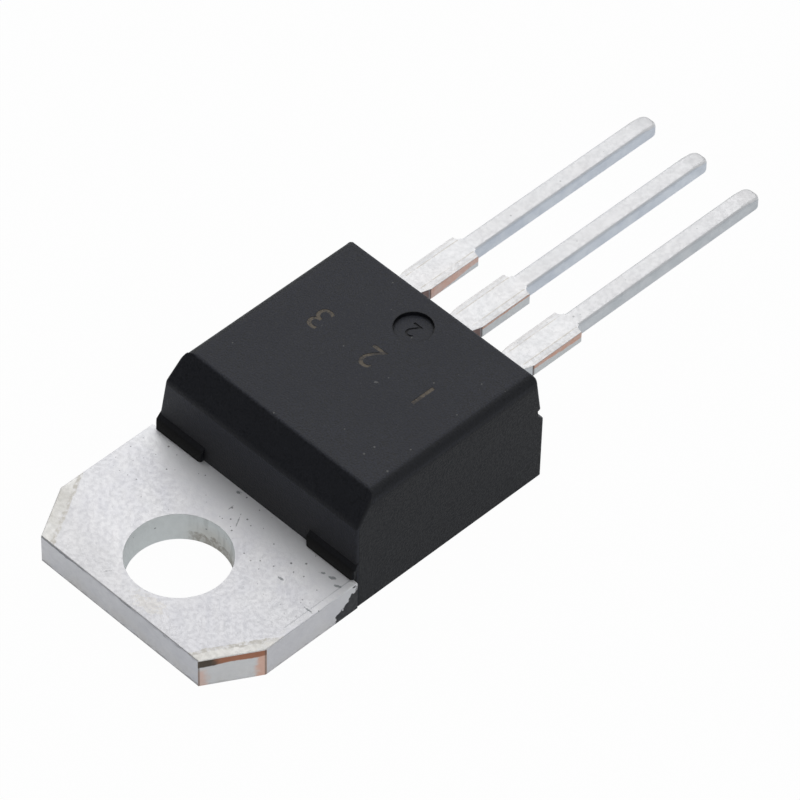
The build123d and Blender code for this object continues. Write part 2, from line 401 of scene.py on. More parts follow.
def make_digit_tool(digit, size, middle, top):
    """A plain upright digit that reads with the tab up, to be sunk into a face."""
    bpy.ops.object.select_all(action="DESELECT")
    bpy.ops.object.text_add(rotation=(0, 0, math.pi))
    text = bpy.context.object
    text.data.body, text.data.size, text.data.extrude = digit, size, BEYOND
    text.data.align_x, text.data.align_y = "CENTER", "CENTER"
    bpy.ops.object.convert(target="MESH")
    bpy.ops.object.transform_apply(location=False, rotation=True, scale=False)
    reopen(text)
    weld(10 * HAIR)
    slide(*middle, top + BEYOND)
    return close_up(text)


def make_body(material):
    body = make_body_block()
    round_body(body)
    carve(body, make_groove_tool())
    for side in (1, -1):
        carve(body, make_foot(side), "UNION")
    carve(body, make_header_tool())
    mark = start_disc("mark_tool", MARK_RADIUS, BODY_TOP - MARK_DEPTH, BODY_TOP + BEYOND)
    pick_all()
    slide(0, MARK_Y, 0)
    carve(body, close_up(mark))
    for place, digit in enumerate("123"):
        middle = ((1 - place) * PITCH, DIGITS_Y)
        carve(body, make_digit_tool(digit, DIGIT_SIZE, middle, BODY_TOP - DIGIT_DEPTH))
    floor = BODY_TOP - MARK_DEPTH - MARK_DIGIT_DEPTH
    carve(body, make_digit_tool("2", MARK_DIGIT_SIZE, (0, MARK_Y), floor))
    reopen(body)
    round_off(MARK_ROLL, 2, lambda at, way: near(at.z, BODY_TOP, 0.01) and near(way.z, 0, 0.1)
              and near(math.hypot(at.x, at.y - MARK_Y), MARK_RADIUS, 0.01))
    weld(20 * HAIR)
    bpy.ops.object.mode_set(mode="OBJECT")
    shade(body, BODY_SHARP)
    hand_over(body, ["moulded_body"], material)


def make_tab(material):
    """The bolt tab and the header behind it, under the chip."""
    tab = start_block("bolt_tab", (-TAB_HALF, TAB_END, 0), (TAB_HALF, SHOULDER, TAB_TOP))
    cut_across(1, TAB_END + CUT_ALONG)
    pick("VERT", lambda at, way: near(at.y, TAB_END))
    stretch((TAB_HALF - CUT_ACROSS) / TAB_HALF, 1, 1)
    cut_across(0, -HEADER_HALF, HEADER_HALF)
    pick("FACE", lambda at, way: way.y > SQUARE and abs(at.x) < HEADER_HALF)
    pull_out(0, HEADER_REAR - HEADER_CUT - SHOULDER, 0)
    pull_out(0, HEADER_CUT, 0)
    stretch((HEADER_HALF - HEADER_CUT) / HEADER_HALF, 1, 1)
    close_up(tab)
    hole = start_disc("hole_tool", HOLE_RADIUS, -BEYOND, TAB_TOP + BEYOND, sides=128)
    carve(tab, close_up(hole))
    reopen(tab)
    round_off(HOLE_ROLL, 2, lambda at, way: near(at.z, TAB_TOP) and at.xy.length < HOLE_RADIUS + HAIR)
    round_off(TAB_ROLL, 3, lambda at, way: near(at.z, TAB_TOP) and at.y < SHOULDER - 0.01
              and at.xy.length > HOLE_RADIUS + 0.3
              and (abs(at.x) > HEADER_HALF + 0.1 or near(at.y, TAB_END)))
    close_up(tab)
    shade(tab, TAB_SHARP)
    hand_over(tab, ["heat_tab"], material)


def make_strap(material):
    """The thin strip inside the body, from the header up to the centre lead."""
    low = TAB_TOP - (LEAD_TOP - LEAD_UNDER)
    strap = start_block("strap", (-STRAP_HALF, HEADER_REAR - STRAP_OVERLAP, low),
                        (STRAP_HALF, POST_REAR, TAB_TOP))
    cut_across(1, STRAP_FOOT, STRAP_CREST)
    pick("VERT", lambda at, way: at.y > STRAP_CREST - HAIR)
    slide(0, 0, LEAD_TOP - TAB_TOP)
    round_off(STRAP_BEND, 4, lambda at, way: abs(way.x) > SQUARE
              and (near(at.y, STRAP_FOOT) or near(at.y, STRAP_CREST)))
    close_up(strap)
    shade(strap, LEAD_SHARP)
    hand_over(strap, ["heat_tab"], material)


def make_lead(name):
    """One lead outside the body, on the part's middle line."""
    lead = start_block(name, (-STUB_HALF, STUB_FRONT, LEAD_UNDER), (STUB_HALF, STUB_REAR, LEAD_TOP))
    cut_across(0, -WING_INNER, WING_INNER)
    pick("FACE", lambda at, way: way.y > SQUARE and abs(at.x) < WING_INNER)
    pull_out(0, WEB, 0)
    stretch(SHAFT_HALF / WING_INNER, 1, 1)
    pick("FACE", lambda at, way: way.y < -SQUARE)
    pull_out(0, -FLARE, 0)
    stretch(NECK_HALF / STUB_HALF, 1, 1)
    pull_out(0, POST_REAR - STUB_FRONT + FLARE, 0)
    for level, fall in ((LEAD_TOP, -WING_DROP), (LEAD_UNDER, WING_DROP)):
        pick("VERT", lambda at, way: near(at.z, level) and near(abs(at.x), STUB_HALF))
        slide(0, 0, fall)
    # the web's hollow corners, the long outer edges and the wings' rear corners
    round_off(WEB - 0.01, 6, lambda at, way: abs(way.z) > SQUARE and near(at.y, STUB_REAR)
              and near(abs(at.x), WING_INNER))
    round_off(STUB_ROLL, 3, lambda at, way: abs(way.y) > SQUARE and at.y < STUB_REAR
              and abs(at.x) > NECK_HALF - 0.05)
    round_off(WING_CORNER, 2, lambda at, way: near(at.y, STUB_REAR, 0.03) and abs(at.x) > NECK_HALF)
    close_up(lead)
    carve(lead, make_shaft(), "UNION")
    reopen(lead)
    cut_across(1, *[POST_REAR + CUT_START + CUT_STEP * row for row in range(CUT_COUNT)])
    pick("EDGE", lambda at, way: abs(way.y) > SQUARE and at.y < STUB_REAR
         and near(abs(at.x), WING_INNER) and not near(at.z, MIDDLE_Z, 0.2))
    bpy.ops.mesh.mark_sharp()
    return close_up(lead)


def make_shaft():
    """The narrow run of a lead, with rolled edges and a bullet tip. It starts inside the stub."""
    shaft = start_block("shaft", (-SHAFT_HALF, STUB_REAR - SHAFT_OVERLAP, LEAD_UNDER),
                        (SHAFT_HALF, LEAD_TIP, LEAD_TOP))
    cut_across(1, LEAD_TIP - TIP_RAMP)
    pick("VERT", lambda at, way: near(at.y, LEAD_TIP) and near(at.z, LEAD_TOP))
    slide(0, 0, -TIP_DROP)
    round_off(TIP_RADIUS, 8, lambda at, way: abs(way.z) > SQUARE and near(at.y, LEAD_TIP))
    for up, width in ((1, TOP_ROLL), (-1, UNDER_ROLL)):
        pick("FACE", lambda at, way: way.z * up > SQUARE)
        bpy.ops.mesh.region_to_loop()
        bpy.ops.mesh.bevel(offset=width, segments=3, affect="EDGES", clamp_overlap=False)
    return close_up(shaft)


def copy_lead(lead, name, across):
    copy = lead.copy()
    copy.data = lead.data.copy()
    copy.name = copy.data.name = name
    bpy.context.collection.objects.link(copy)
    reopen(copy)
    pick_all()
    slide(across, 0, 0)
    bpy.ops.object.mode_set(mode="OBJECT")
    return copy


def add_post(lead, side):
    """The bond post inside the body, at the lead's inner end."""
    post = start_block("post", (-POST_HALF, POST_REAR - POST_LENGTH, LEAD_UNDER),
                       (POST_HALF, POST_REAR, LEAD_TOP))
    round_off(POST_CORNER, 1, lambda at, way: abs(way.z) > SQUARE)
    pick_all()
    slide(side * (PITCH + POST_ASIDE), 0, 0)
    carve(lead, close_up(post), "UNION")


# ---- Shader nodes ----

# Colours, as linear red, green and blue
COLORS = {
    "epoxy shade": (0.002, 0.003, 0.005),
    "epoxy light": (0.035, 0.0378, 0.052),
    "epoxy coarse": (0.03, 0.032, 0.044),
    "epoxy cloud": (0.016, 0.0178, 0.027),
    "epoxy grit": (0.065, 0.068, 0.078),
    "painted shade epoxy": (0.003, 0.0036, 0.0055),
    "painted edge shade": (0.006, 0.007, 0.008),
    "warm epoxy": (0.018, 0.017, 0.015),
    "dust": (0.3, 0.3, 0.28),
    "nick": (0.35, 0.35, 0.34),
    "recess": (0.002, 0.002, 0.003),
    "laser mark": (0.135, 0.112, 0.084),
    "tab shade": (0.785, 0.785, 0.82),
    "tab light": (0.86, 0.86, 0.875),
    "tab speckle": (0.9, 0.89, 0.9),
    "tab streak": (0.93, 0.92, 0.93),
    "tab cloud": (0.69, 0.69, 0.72),
    "tab far end": (0.7, 0.695, 0.7),
    "tab by body": (0.95, 0.955, 0.97),
    "tab stain": (0.8, 0.76, 0.68),
    "bruise": (0.95, 0.95, 0.95),
    "burr": (0.5, 0.51, 0.53),
    "tab pit": (0.16, 0.16, 0.17),
    "smudge": (0.2, 0.22, 0.23),
    "scratch": (0.14, 0.14, 0.15),
    "flash": (0.013, 0.014, 0.017),
    "worn band": (0.64, 0.615, 0.56),
    "band shade": (0.68, 0.665, 0.63),
    "band light": (0.84, 0.83, 0.81),
    "band near": (0.9, 0.885, 0.85),
    "edge line": (0.25, 0.25, 0.27),
    "low patch": (0.28, 0.27, 0.28),
    "warm side": (0.72, 0.68, 0.62),
    "near side": (0.68, 0.67, 0.675),
    "hole wall": (0.775, 0.8, 0.79),
    "hole beige": (0.68, 0.665, 0.62),
    "hole smear": (0.4, 0.41, 0.39),
    "torn metal": (0.4, 0.37, 0.32),
    "hole speck": (0.15, 0.16, 0.16),
    "cut face": (0.79, 0.79, 0.77),
    "pink stain": (0.86, 0.56, 0.44),
    "dark copper": (0.11, 0.09, 0.07),
    "bare copper": (0.47, 0.215, 0.13),
    "cut end": (0.16, 0.13, 0.11),
    "lead shade": (0.76, 0.765, 0.78),
    "lead light": (0.83, 0.83, 0.84),
    "lead cloud": (0.8, 0.775, 0.77),
    "lead speckle": (0.89, 0.89, 0.895),
    "painted shaft shade": (0.69, 0.69, 0.7),
    "bright side shade": (0.75, 0.795, 0.86),
    "bright side light": (0.84, 0.88, 0.93),
    "dull side shade": (0.66, 0.69, 0.71),
    "dull side light": (0.75, 0.77, 0.785),
    "ridge": (0.64, 0.61, 0.555),
    "wing edge": (0.68, 0.64, 0.58),
    "lead pit": (0.3, 0.31, 0.31),
    "sheared side": (0.76, 0.77, 0.755),
    "centre copper": (0.74, 0.46, 0.35),
    "near copper": (0.74, 0.45, 0.34),
    "far copper": (0.82, 0.55, 0.455),
    "red neck": (0.21, 0.11, 0.085),
    "tin neck": (0.76, 0.77, 0.78),
    "neck corner": (0.08, 0.05, 0.045),
    "tip edge": (0.7, 0.66, 0.58),
    "rolled edge": (0.97, 0.97, 0.975),
    "silicon": (0.33, 0.35, 0.38),
    "solder": (0.55, 0.56, 0.57),
    "aluminium": (0.83, 0.83, 0.84),
    "paper": (0.7, 0.7, 0.7),
    "cool white": (0.93, 0.96, 1.0),
    "air": (0.95, 0.97, 1.0),
    "white": (1.0, 1.0, 1.0),
}


def rgba(color):
    """A colour by its name, or three numbers, with full alpha. A colour socket stays as it is."""
    if isinstance(color, bpy.types.NodeSocket):
        return color
    return (*COLORS.get(color, color), 1)


class Nodes:
    """Adds nodes to one shader tree. Every value is a socket or a plain number."""

    def __init__(self, tree):
        self.tree = tree

    def feed(self, node, inputs):
        """Links or sets a node's inputs."""
        for key, value in inputs.items():
            if isinstance(value, bpy.types.NodeSocket):
                self.tree.links.new(value, node.inputs[key])
            else:
                node.inputs[key].default_value = value

    def put(self, kind, inputs=None, **settings):
        """Adds a node with its settings and inputs."""
        made = self.tree.nodes.new("ShaderNode" + kind)
        for key, value in settings.items():
            setattr(made, key, value)
        self.feed(made, inputs or {})
        return made

    def calc(self, how, *values):
        return self.put("Math", dict(enumerate(values)), operation=how).outputs[0]

    def chain(self, how, values):
        """Works through the values from the left."""
        total = values[0]
        for value in values[1:]:
            total = self.calc(how, total, value)
        return total

    def times(self, *values):
        return self.chain("MULTIPLY", values)

    def plus(self, *values):
        return self.chain("ADD", values)

    def minus(self, *values):
        return self.chain("SUBTRACT", values)

    def most(self, *values):
        return self.chain("MAXIMUM", values)

    def size_of(self, value):
        return self.calc("ABSOLUTE", value)

    def one_over(self, value):
        return self.calc("DIVIDE", 1.0, value)

    def distance(self, a, b):
        return self.calc("SQRT", self.plus(self.times(a, a), self.times(b, b)))

    def fade(self, value, start, end, low=0.0, high=1.0):
        """Goes smoothly from low to high as a value goes from start to end."""
        made = self.put("MapRange", {
            "Value": value, "From Min": start, "From Max": end, "To Min": low, "To Max": high,
        }, interpolation_type="SMOOTHSTEP")
        return made.outputs["Result"]

    def between(self, value, low, high, soft=0.02):
        """One where a value lies between two bounds."""
        rise = self.fade(value, low - soft, low + soft)
        return self.times(rise, self.fade(value, high + soft, high - soft))

    def blend(self, share, first, second):
        made = self.put("Mix", {0: share, 6: rgba(first), 7: rgba(second)}, data_type="RGBA")
        return made.outputs[2]

    def vector(self, how, *values):
        return self.put("VectorMath", dict(enumerate(values)), operation=how).outputs

    def turn(self, vector, angle):
        inputs = {"Vector": vector, "Angle": angle}
        return self.put("VectorRotate", inputs, rotation_type="Z_AXIS").outputs[0]

    def join(self, x, y, z=0.0):
        return self.put("CombineXYZ", {"X": x, "Y": y, "Z": z}).outputs[0]

    def split(self, vector, axes="XYZ"):
        made = self.put("SeparateXYZ", {0: vector}).outputs
        return [made[axis] for axis in axes]

    def noise(self, vector, scale, detail=3.0, roughness=0.5):
        made = self.put("TexNoise", {
            "Vector": vector, "Scale": scale, "Detail": detail, "Roughness": roughness})
        return made.outputs["Fac"]


# ---- Shared effects ----


def new_group(name, inputs, outputs=("Mask",)):
    """An empty shader group. Its inputs are vectors, or numbers with a first value."""
    tree = bpy.data.node_groups.new(name, "ShaderNodeTree")
    for key, value in inputs.items():
        kind = "NodeSocketVector" if value is None else "NodeSocketFloat"
        socket = tree.interface.new_socket(key, in_out="INPUT", socket_type=kind)
        if value is not None:
            socket.default_value = value
    for key in outputs:
        tree.interface.new_socket(key, in_out="OUTPUT", socket_type="NodeSocketFloat")
    given = tree.nodes.new("NodeGroupInput").outputs
    return Nodes(tree), given, tree.nodes.new("NodeGroupOutput")


def make_grain_group():
    """Fine speckle with slow clouds under it."""
    inputs = {"Place": None, "Size": 0.06, "Cloud Size": 2.0}
    n, given, out = new_group("moulded grain", inputs, ("Speckle", "Cloud"))
    fine = n.noise(given["Place"], n.one_over(given["Size"]), roughness=0.6)
    slow = n.noise(given["Place"], n.one_over(given["Cloud Size"]), detail=2.0)
    n.feed(out, {"Speckle": n.fade(fine, 0.3, 0.7), "Cloud": n.fade(slow, 0.3, 0.7)})


def make_flecks_group():
    """Sparse round flecks over a flat face, such as dust or pits.

    The face lies in the first two axes of Place. Share is how many of the cells hold one.
    """
    n, given, out = new_group("flecks", {"Place": None, "Spacing": 0.5, "Radius": 0.1, "Share": 0.3})
    cells = n.put("TexVoronoi", {
        "Vector": given["Place"], "Scale": n.one_over(given["Spacing"])}, voronoi_dimensions="2D").outputs
    chance = n.put("SeparateColor", {"Color": cells["Color"]}).outputs
    lit = n.calc("LESS_THAN", chance["Red"], given["Share"])
    size = n.times(given["Radius"], n.plus(0.4, chance["Green"]))
    n.feed(out, {"Mask": n.times(lit, n.fade(cells["Distance"], size, n.times(size, 0.5)))})


def make_blot_group():
    """One soft ragged blot. At is its middle, Reach its half sizes and Turn its heading."""
    n, given, out = new_group("blot", {"Place": None, "At": None, "Reach": None, "Turn": 0.0})
    moved = n.vector("SUBTRACT", given["Place"], given["At"])[0]
    turned = n.turn(moved, n.times(given["Turn"], -1.0))
    shrunk = n.vector("DIVIDE", turned, given["Reach"])[0]
    far = n.vector("LENGTH", shrunk)["Value"]
    ragged = n.calc("MULTIPLY_ADD", n.minus(n.noise(given["Place"], 9.0), 0.5), 3.2, far)
    n.feed(out, {"Mask": n.fade(ragged, 1.0, 0.55)})


def make_streaks_group():
    """Soft drawn streaks. Turn is their direction in the XY plane, in radians."""
    n, given, out = new_group("streaks", {"Place": None, "Length": 3.0, "Width": 0.15, "Turn": 0.0})
    turned = n.turn(given["Place"], given["Turn"])
    across = n.one_over(given["Width"])
    sizes = n.join(across, n.one_over(given["Length"]), across)
    drawn = n.noise(n.vector("MULTIPLY", turned, sizes)[0], 1.0)
    n.feed(out, {"Mask": n.fade(drawn, 0.3, 0.7)})


def make_ragged_group():
    """One where a distance is under a reach, with a ragged border."""
    inputs = {"Place": None, "Distance": 0.0, "Reach": 0.4, "Raggedness": 0.1, "Grain": 0.2}
    n, given, out = new_group("ragged band", inputs)
    noise = n.noise(given["Place"], n.one_over(given["Grain"]), detail=4.0)
    shift = n.times(n.minus(noise, 0.5), given["Raggedness"])
    edge = n.minus(given["Reach"], n.plus(given["Distance"], n.times(shift, 4.0)))
    n.feed(out, {"Mask": n.fade(edge, -0.02, 0.03)})


# ---- Materials ----

BLOT_THICKNESS = 0.3


class Finish(Nodes):
    """A material in the making, with its colour so far and the piece's place in millimetres."""

    def __init__(self, name):
        self.material = bpy.data.materials.new(name)
        self.material.use_nodes = True
        super().__init__(self.material.node_tree)
        coords = self.put("TexCoord").outputs["Object"]
        scaled = self.put("VectorMath", {0: coords, "Scale": 1 / MM}, operation="SCALE")
        self.place = scaled.outputs[0]

    def facing(self, axes):
        """The face's direction, as its shares of some axes."""
        return self.split(self.put("NewGeometry").outputs["Normal"], axes)

    def effect(self, name, **inputs):
        """Places a shared effect and returns its outputs."""
        named = {key.replace("_", " ").title(): value for key, value in inputs.items()}
        group = bpy.data.node_groups[name]
        return self.put("Group", {"Place": self.place, **named}, node_tree=group).outputs

    def grain(self, **inputs):
        made = self.effect("moulded grain", **inputs)
        return made["Speckle"], made["Cloud"]

    def flecks(self, **inputs):
        return self.effect("flecks", **inputs)["Mask"]

    def band(self, distance, reach, **inputs):
        return self.effect("ragged band", distance=distance, reach=reach, **inputs)["Mask"]

    def blots(self, level, spots):
        """Every blot on a level as one mask. Each is its middle, half sizes and heading."""
        mask = 0.0
        for x, y, half, other_half, heading in spots:
            one = self.effect("blot", at=(x, y, level), reach=(half, other_half, BLOT_THICKNESS),
                              turn=heading)
            mask = self.most(mask, one["Mask"])
        return mask

    def tint(self, color, *shares):
        """Lays a colour over the colour so far, by the product of its shares."""
        self.color = self.blend(self.times(*shares), self.color, color)

    def dress(self, roughness, height, depth, others):
        """Feeds the shader. depth is the bump's, in millimetres."""
        bump = self.put("Bump", {"Height": height, "Distance": depth * MM, "Strength": 1.0})
        self.feed(self.tree.nodes["Principled BSDF"], {
            "Base Color": self.color, "Roughness": roughness, "Normal": bump.outputs[0], **others})
        return self.material


# Nicks in the body's top: middle, half sizes, heading
BODY_NICKS = [(1.01, 8.35, 0.09, 0.05, 0.6), (3.1, 6.2, 0.05, 0.04, 0.0)]


def make_epoxy():
    """Black moulding compound: fine grain, slow clouds, painted shade on its walls, facet, feet and
    rolled edges, and a little dust.
    """
    m = Finish("black_epoxy")
    x, y, z = m.split(m.place)
    nx, ny, nz = m.facing("XYZ")
    speckle, cloud = m.grain(size=0.07, cloud_size=1.8)
    coarse = m.grain(size=0.2, cloud_size=4.0)[0]
    m.color = m.blend(speckle, "epoxy shade", "epoxy light")
    m.tint("epoxy coarse", coarse, 0.3)
    m.tint("epoxy cloud", cloud, 0.4)
    # one flat map for every face: each wall leans a different way in it
    flat = m.join(m.plus(x, y), m.plus(m.minus(x, y), m.times(z, 2.3)))
    m.tint("epoxy grit", m.flecks(spacing=0.22, radius=0.16, share=0.35, place=flat), 0.35)
    # painted shade: the walls are darker than the top, and the facet, the feet and their ramps darker
    # still
    wall = m.fade(m.size_of(nx), 0.9, 0.98)
    facet = m.times(m.fade(ny, -0.3, -0.6), m.fade(nz, 0.1, 0.3, 0.0, 0.7))
    feet = m.fade(y, FRONT_WALL - 0.02, FRONT_WALL - 0.1)
    ramp = m.times(m.fade(nz, 0.2, 0.45), m.fade(z, TAB_TOP + 0.8, TAB_TOP + 0.7), m.fade(ny, -0.3, -0.5))
    m.tint("painted shade epoxy", m.most(wall, facet, feet, m.times(ramp, 0.6)))
    # painted shade: the rolled side edges are a little darker
    rolled = m.times(m.between(m.size_of(nx), 0.3, 0.92, 0.1), m.fade(nz, 0.25, 0.4))
    m.tint("painted edge shade", rolled, 0.7)
    # the front wall has a faint warm cast low down
    m.tint("warm epoxy", m.fade(ny, -0.5, -0.9), m.fade(z, 3.4, 1.6), 0.5)
    # pale dust, and a few nicks
    dust = m.flecks(spacing=1.1, radius=0.05, share=0.16, place=flat)
    m.tint("dust", dust, m.fade(m.size_of(nz), 0.8, 0.95, 0.0, 0.35))
    mark_recess(m, x, y, z, nz, coarse)
    m.tint("nick", m.blots(BODY_TOP, BODY_NICKS), 0.3)
    matt = m.times(m.most(feet, ramp), 0.9)
    rough = m.most(m.fade(speckle, 0, 1, 0.40, 0.58), matt)
    return m.dress(rough, speckle, depth=0.007, others={"Specular IOR Level": 0.32})


def mark_recess(m, x, y, z, nz, coarse):
    """Laser-marked digits, and painted shade on the round recess's rim and on the digit sunk in its
    floor.
    """
    deep = m.minus(BODY_TOP, z)
    ring = m.distance(x, m.minus(y, MARK_Y))
    # painted shade: the recess's rim and the digit sunk in its floor are darkened
    rim = m.between(ring, MARK_RADIUS - 0.05, MARK_RADIUS + 0.03)
    m.tint("recess", rim, m.fade(deep, 0.3, 0.2), 0.7)
    sunk = m.times(m.fade(deep, MARK_DEPTH + 0.01, MARK_DEPTH + 0.02), m.fade(deep, 0.3, 0.25))
    m.tint("recess", sunk, m.fade(ring, MARK_RADIUS, MARK_RADIUS - 0.05), 0.8)
    lasered = m.times(m.fade(deep, DIGIT_DEPTH / 3, DIGIT_DEPTH * 2 / 3), m.fade(deep, 0.05, 0.03))
    in_row = m.between(y, DIGITS_Y - DIGIT_SIZE / 2, DIGITS_Y + DIGIT_SIZE / 2)
    in_row = m.times(in_row, m.fade(m.size_of(x), 4.0, 3.9), m.fade(nz, 0.8, 0.9))
    m.tint("laser mark", lasered, in_row, m.fade(coarse, 0.1, 0.6, 0.35, 1.0))


# Marks on the tab's top: middle, half sizes, heading
TAB_SMUDGES = [(4.32, 3.06, 0.14, 0.06, 0.4),
               (3.94, 2.98, 0.11, 0.05, 0.4),
               (4.70, 2.93, 0.14, 0.05, 0.3),
               (3.15, 1.78, 0.17, 0.05, 0.1),
               (-0.71, 3.46, 0.14, 0.08, 0.0),
               (4.75, 1.48, 0.26, 0.035, 0.0)]
TAB_SCRATCHES = [(0.24, 2.55, 0.3, 0.022, 2.1),
                 (-1.16, -2.22, 0.2, 0.02, 0.9),
                 (-0.38, 2.75, 0.12, 0.02, 1.6)]
TAB_STAIN = (0.9, -2.2, 0.75, 0.35, 0.1)


def make_tab_tin():
    """Matt tin over copper, stained and worn as a sheared and moulded tab is, with painted light next to
    the body.
    """
    m = Finish("tab_tin")
    x, y, z = m.split(m.place)
    nz = m.facing("Z")[0]
    speckle, cloud = m.grain(size=0.16, cloud_size=0.9)
    broad_speckle, broad_cloud = m.grain(size=0.5, cloud_size=2.6)
    streak = m.effect("streaks", length=1.8, width=0.22, turn=2.356)["Mask"]
    top = m.fade(nz, 0.5, 0.8)
    # lilac-white clouds, drawn into streaks towards the free end
    m.color = m.blend(cloud, "tab shade", "tab light")
    m.tint("tab speckle", broad_speckle, 0.4)
    m.tint("tab streak", streak, m.fade(y, 1.5, -1.5, 0.15, 0.75))
    m.tint("tab cloud", broad_cloud, m.fade(y, 3.0, -2.0, 0.1, 0.5))
    m.tint("tab far end", m.fade(m.plus(y, m.times(x, 0.3)), -1.2, -2.8), 0.45)
    # painted light: the tab is lightened towards the body, against the body's dark reflection in it
    m.tint("tab by body", m.fade(y, 2.1, 3.4), 0.8)
    wear_bands(m, x, y, top, speckle, cloud)
    # stain by the free end, and a bright bruised strip with a burr along the near side
    m.tint("tab stain", m.blots(TAB_TOP, [TAB_STAIN]), 0.35)
    bruise = m.times(m.fade(x, 4.75, 4.9), m.fade(speckle, 0.45, 0.75))
    m.tint("bruise", top, bruise, 0.5)
    burr = m.times(m.between(x, 4.80, 4.84), m.fade(cloud, 0.35, 0.6))
    m.tint("burr", burr, top, m.fade(y, -1.0, -0.6, 0.0, 0.6))
    # pits, smudges and scratches, mostly between the hole and the body
    pits = m.flecks(spacing=0.36, radius=0.10, share=0.16)
    pits = m.most(pits, m.flecks(spacing=0.23, radius=0.11, share=0.08))
    m.tint("tab pit", pits, m.fade(y, 0.0, 2.2, 0.06, 0.8), top)
    m.tint("smudge", m.blots(TAB_TOP, TAB_SMUDGES), 0.7)
    m.tint("scratch", m.blots(TAB_TOP, TAB_SCRATCHES), 0.5)
    mark_sides(m, x, y, z, nz, cloud)
    mark_hole(m, x, y, z, speckle)
    bare_copper(m, x, y, z, nz)
    # a jagged flash of moulding compound on each side, next to the body
    edge_at = m.fade(z, 0.1, 1.2, 2.45, 3.42)
    flash = m.band(m.minus(edge_at, y), 0.0, raggedness=0.26, grain=0.28)
    flash = m.times(flash, m.fade(m.size_of(x), TAB_HALF - 0.03, TAB_HALF - 0.01), m.fade(nz, 0.5, 0.3))
    m.tint("flash", flash)
    metallic = m.times(m.fade(flash, 0, 1, 0.8, 0.0), m.fade(y, 2.3, 3.4, 1.0, 0.8))
    height = m.plus(speckle, m.times(streak, 0.4))
    return m.dress(m.fade(speckle, 0, 1, 0.48, 0.6), height, depth=0.0015, others={"Metallic": metallic})


def off_cut(m, x, y):
    """How far a place lies behind the cut corner's face on the +X side."""
    across = m.times(m.minus(TAB_HALF - CUT_ACROSS, x), CUT_ALONG / CUT_RUN)
    return m.plus(across, m.times(m.minus(y, TAB_END), CUT_ACROSS / CUT_RUN))


def wear_bands(m, x, y, top, speckle, cloud):
    """Two-tone wear along the cut corners."""
    from_cut = off_cut(m, m.size_of(x), y)
    reach = m.fade(x, -1, 1, 0.56, 0.50)
    wide = m.band(from_cut, reach, raggedness=0.06, grain=0.35)
    m.tint("worn band", wide, m.fade(speckle, 0.0, 0.8, 0.25, 0.85), top)
    inner = m.band(from_cut, m.minus(reach, 0.15), raggedness=0.1, grain=0.35)
    pale = m.blend(cloud, "band shade", "band light")
    pale = m.blend(m.fade(x, -1, 1, 0.0, 0.5), pale, "band near")
    m.tint(pale, inner, top)


def mark_sides(m, x, y, z, nz, cloud):
    """A dark wavy line under the end's top edge, dark patches low down and a darker near side."""
    side = m.fade(nz, 0.5, 0.3)
    under = m.minus(TAB_TOP, z)
    end = m.times(side, m.fade(y, TAB_END + 0.03, TAB_END + 0.01))
    line = m.times(m.band(under, 0.1, raggedness=0.05, grain=0.35), end)
    m.tint("edge line", line, m.fade(cloud, 0.2, 0.8, 0.15, 0.8))
    m.tint("low patch", m.band(z, 0.06, raggedness=0.09, grain=0.3), side, 0.55)
    m.tint("warm side", side, cloud, m.fade(under, 0.5, 1.1, 0.0, 0.35))
    m.tint("near side", m.fade(x, TAB_HALF - 0.03, TAB_HALF - 0.01, 0.0, 0.5), side)


def mark_hole(m, x, y, z, speckle):
    """The punched hole's wall: greenish grey, beige to one side, smudged and specked."""
    wall = m.fade(m.distance(x, y), HOLE_RADIUS + 0.02, HOLE_RADIUS + 0.005)
    m.tint("hole wall", wall)
    right = m.times(wall, m.fade(m.plus(x, y), -0.4, 1.6))
    m.tint("hole beige", right, m.fade(z, 1.15, 0.5, 0.0, 0.8))
    drawn = m.noise(m.vector("MULTIPLY", m.place, (3.0, 3.0, 0.6))[0], 1.0)
    m.tint("hole smear", right, m.fade(drawn, 0.48, 0.64, 0.0, 0.3))
    torn = m.times(m.band(z, TORN_ZONE, raggedness=0.16, grain=0.3), wall)
    torn = m.times(torn, m.fade(m.plus(x, y), 0.0, 0.9))
    m.tint("torn metal", torn, m.fade(speckle, 0.2, 0.7, 0.3, 0.75))
    specks = m.flecks(spacing=0.3, radius=0.13, share=0.16, place=m.join(m.minus(x, y), z))
    m.tint("hole speck", specks, wall, 0.7)


def bare_copper(m, x, y, z, nz):
    """Copper laid bare on the near cut corner, with its stains."""
    along = m.plus(m.times(m.minus(x, TAB_HALF - CUT_ACROSS), CUT_ACROSS / CUT_RUN),
                   m.times(m.minus(y, TAB_END), CUT_ALONG / CUT_RUN))
    face = m.times(m.fade(off_cut(m, x, y), 0.03, 0.015), m.fade(nz, 0.6, 0.4))
    under = m.minus(TAB_TOP, z)
    wobble = m.times(m.minus(m.noise(m.place, 3.0), 0.5), 0.5)
    uneven = m.plus(along, wobble)
    m.tint("cut face", face, 0.6)
    # pinkish stain down the right side and low on the left
    right = m.fade(uneven, CUT_RUN - 0.42, CUT_RUN - 0.2)
    left_low = m.times(m.fade(uneven, 0.45, 0.1), m.fade(under, 0.35, 0.65))
    stain = m.times(face, m.most(right, m.times(left_low, 0.7)))
    m.tint("pink stain", stain, 0.9)
    # the copper strip under the top edge, nearly black at its left end
    deep = m.minus(m.plus(under, m.times(wobble, 0.25)), m.fade(along, 0.9, 0.2, 0.0, 0.07))
    metal = m.blend(m.fade(uneven, 0.4, 0.85), "dark copper", "bare copper")
    m.tint(metal, face, m.fade(deep, 0.32, 0.26))
    ends = m.most(m.fade(along, 0.06, 0.03), m.fade(along, CUT_RUN - 0.05, CUT_RUN - 0.02))
    m.tint("cut end", ends, face, 0.6)


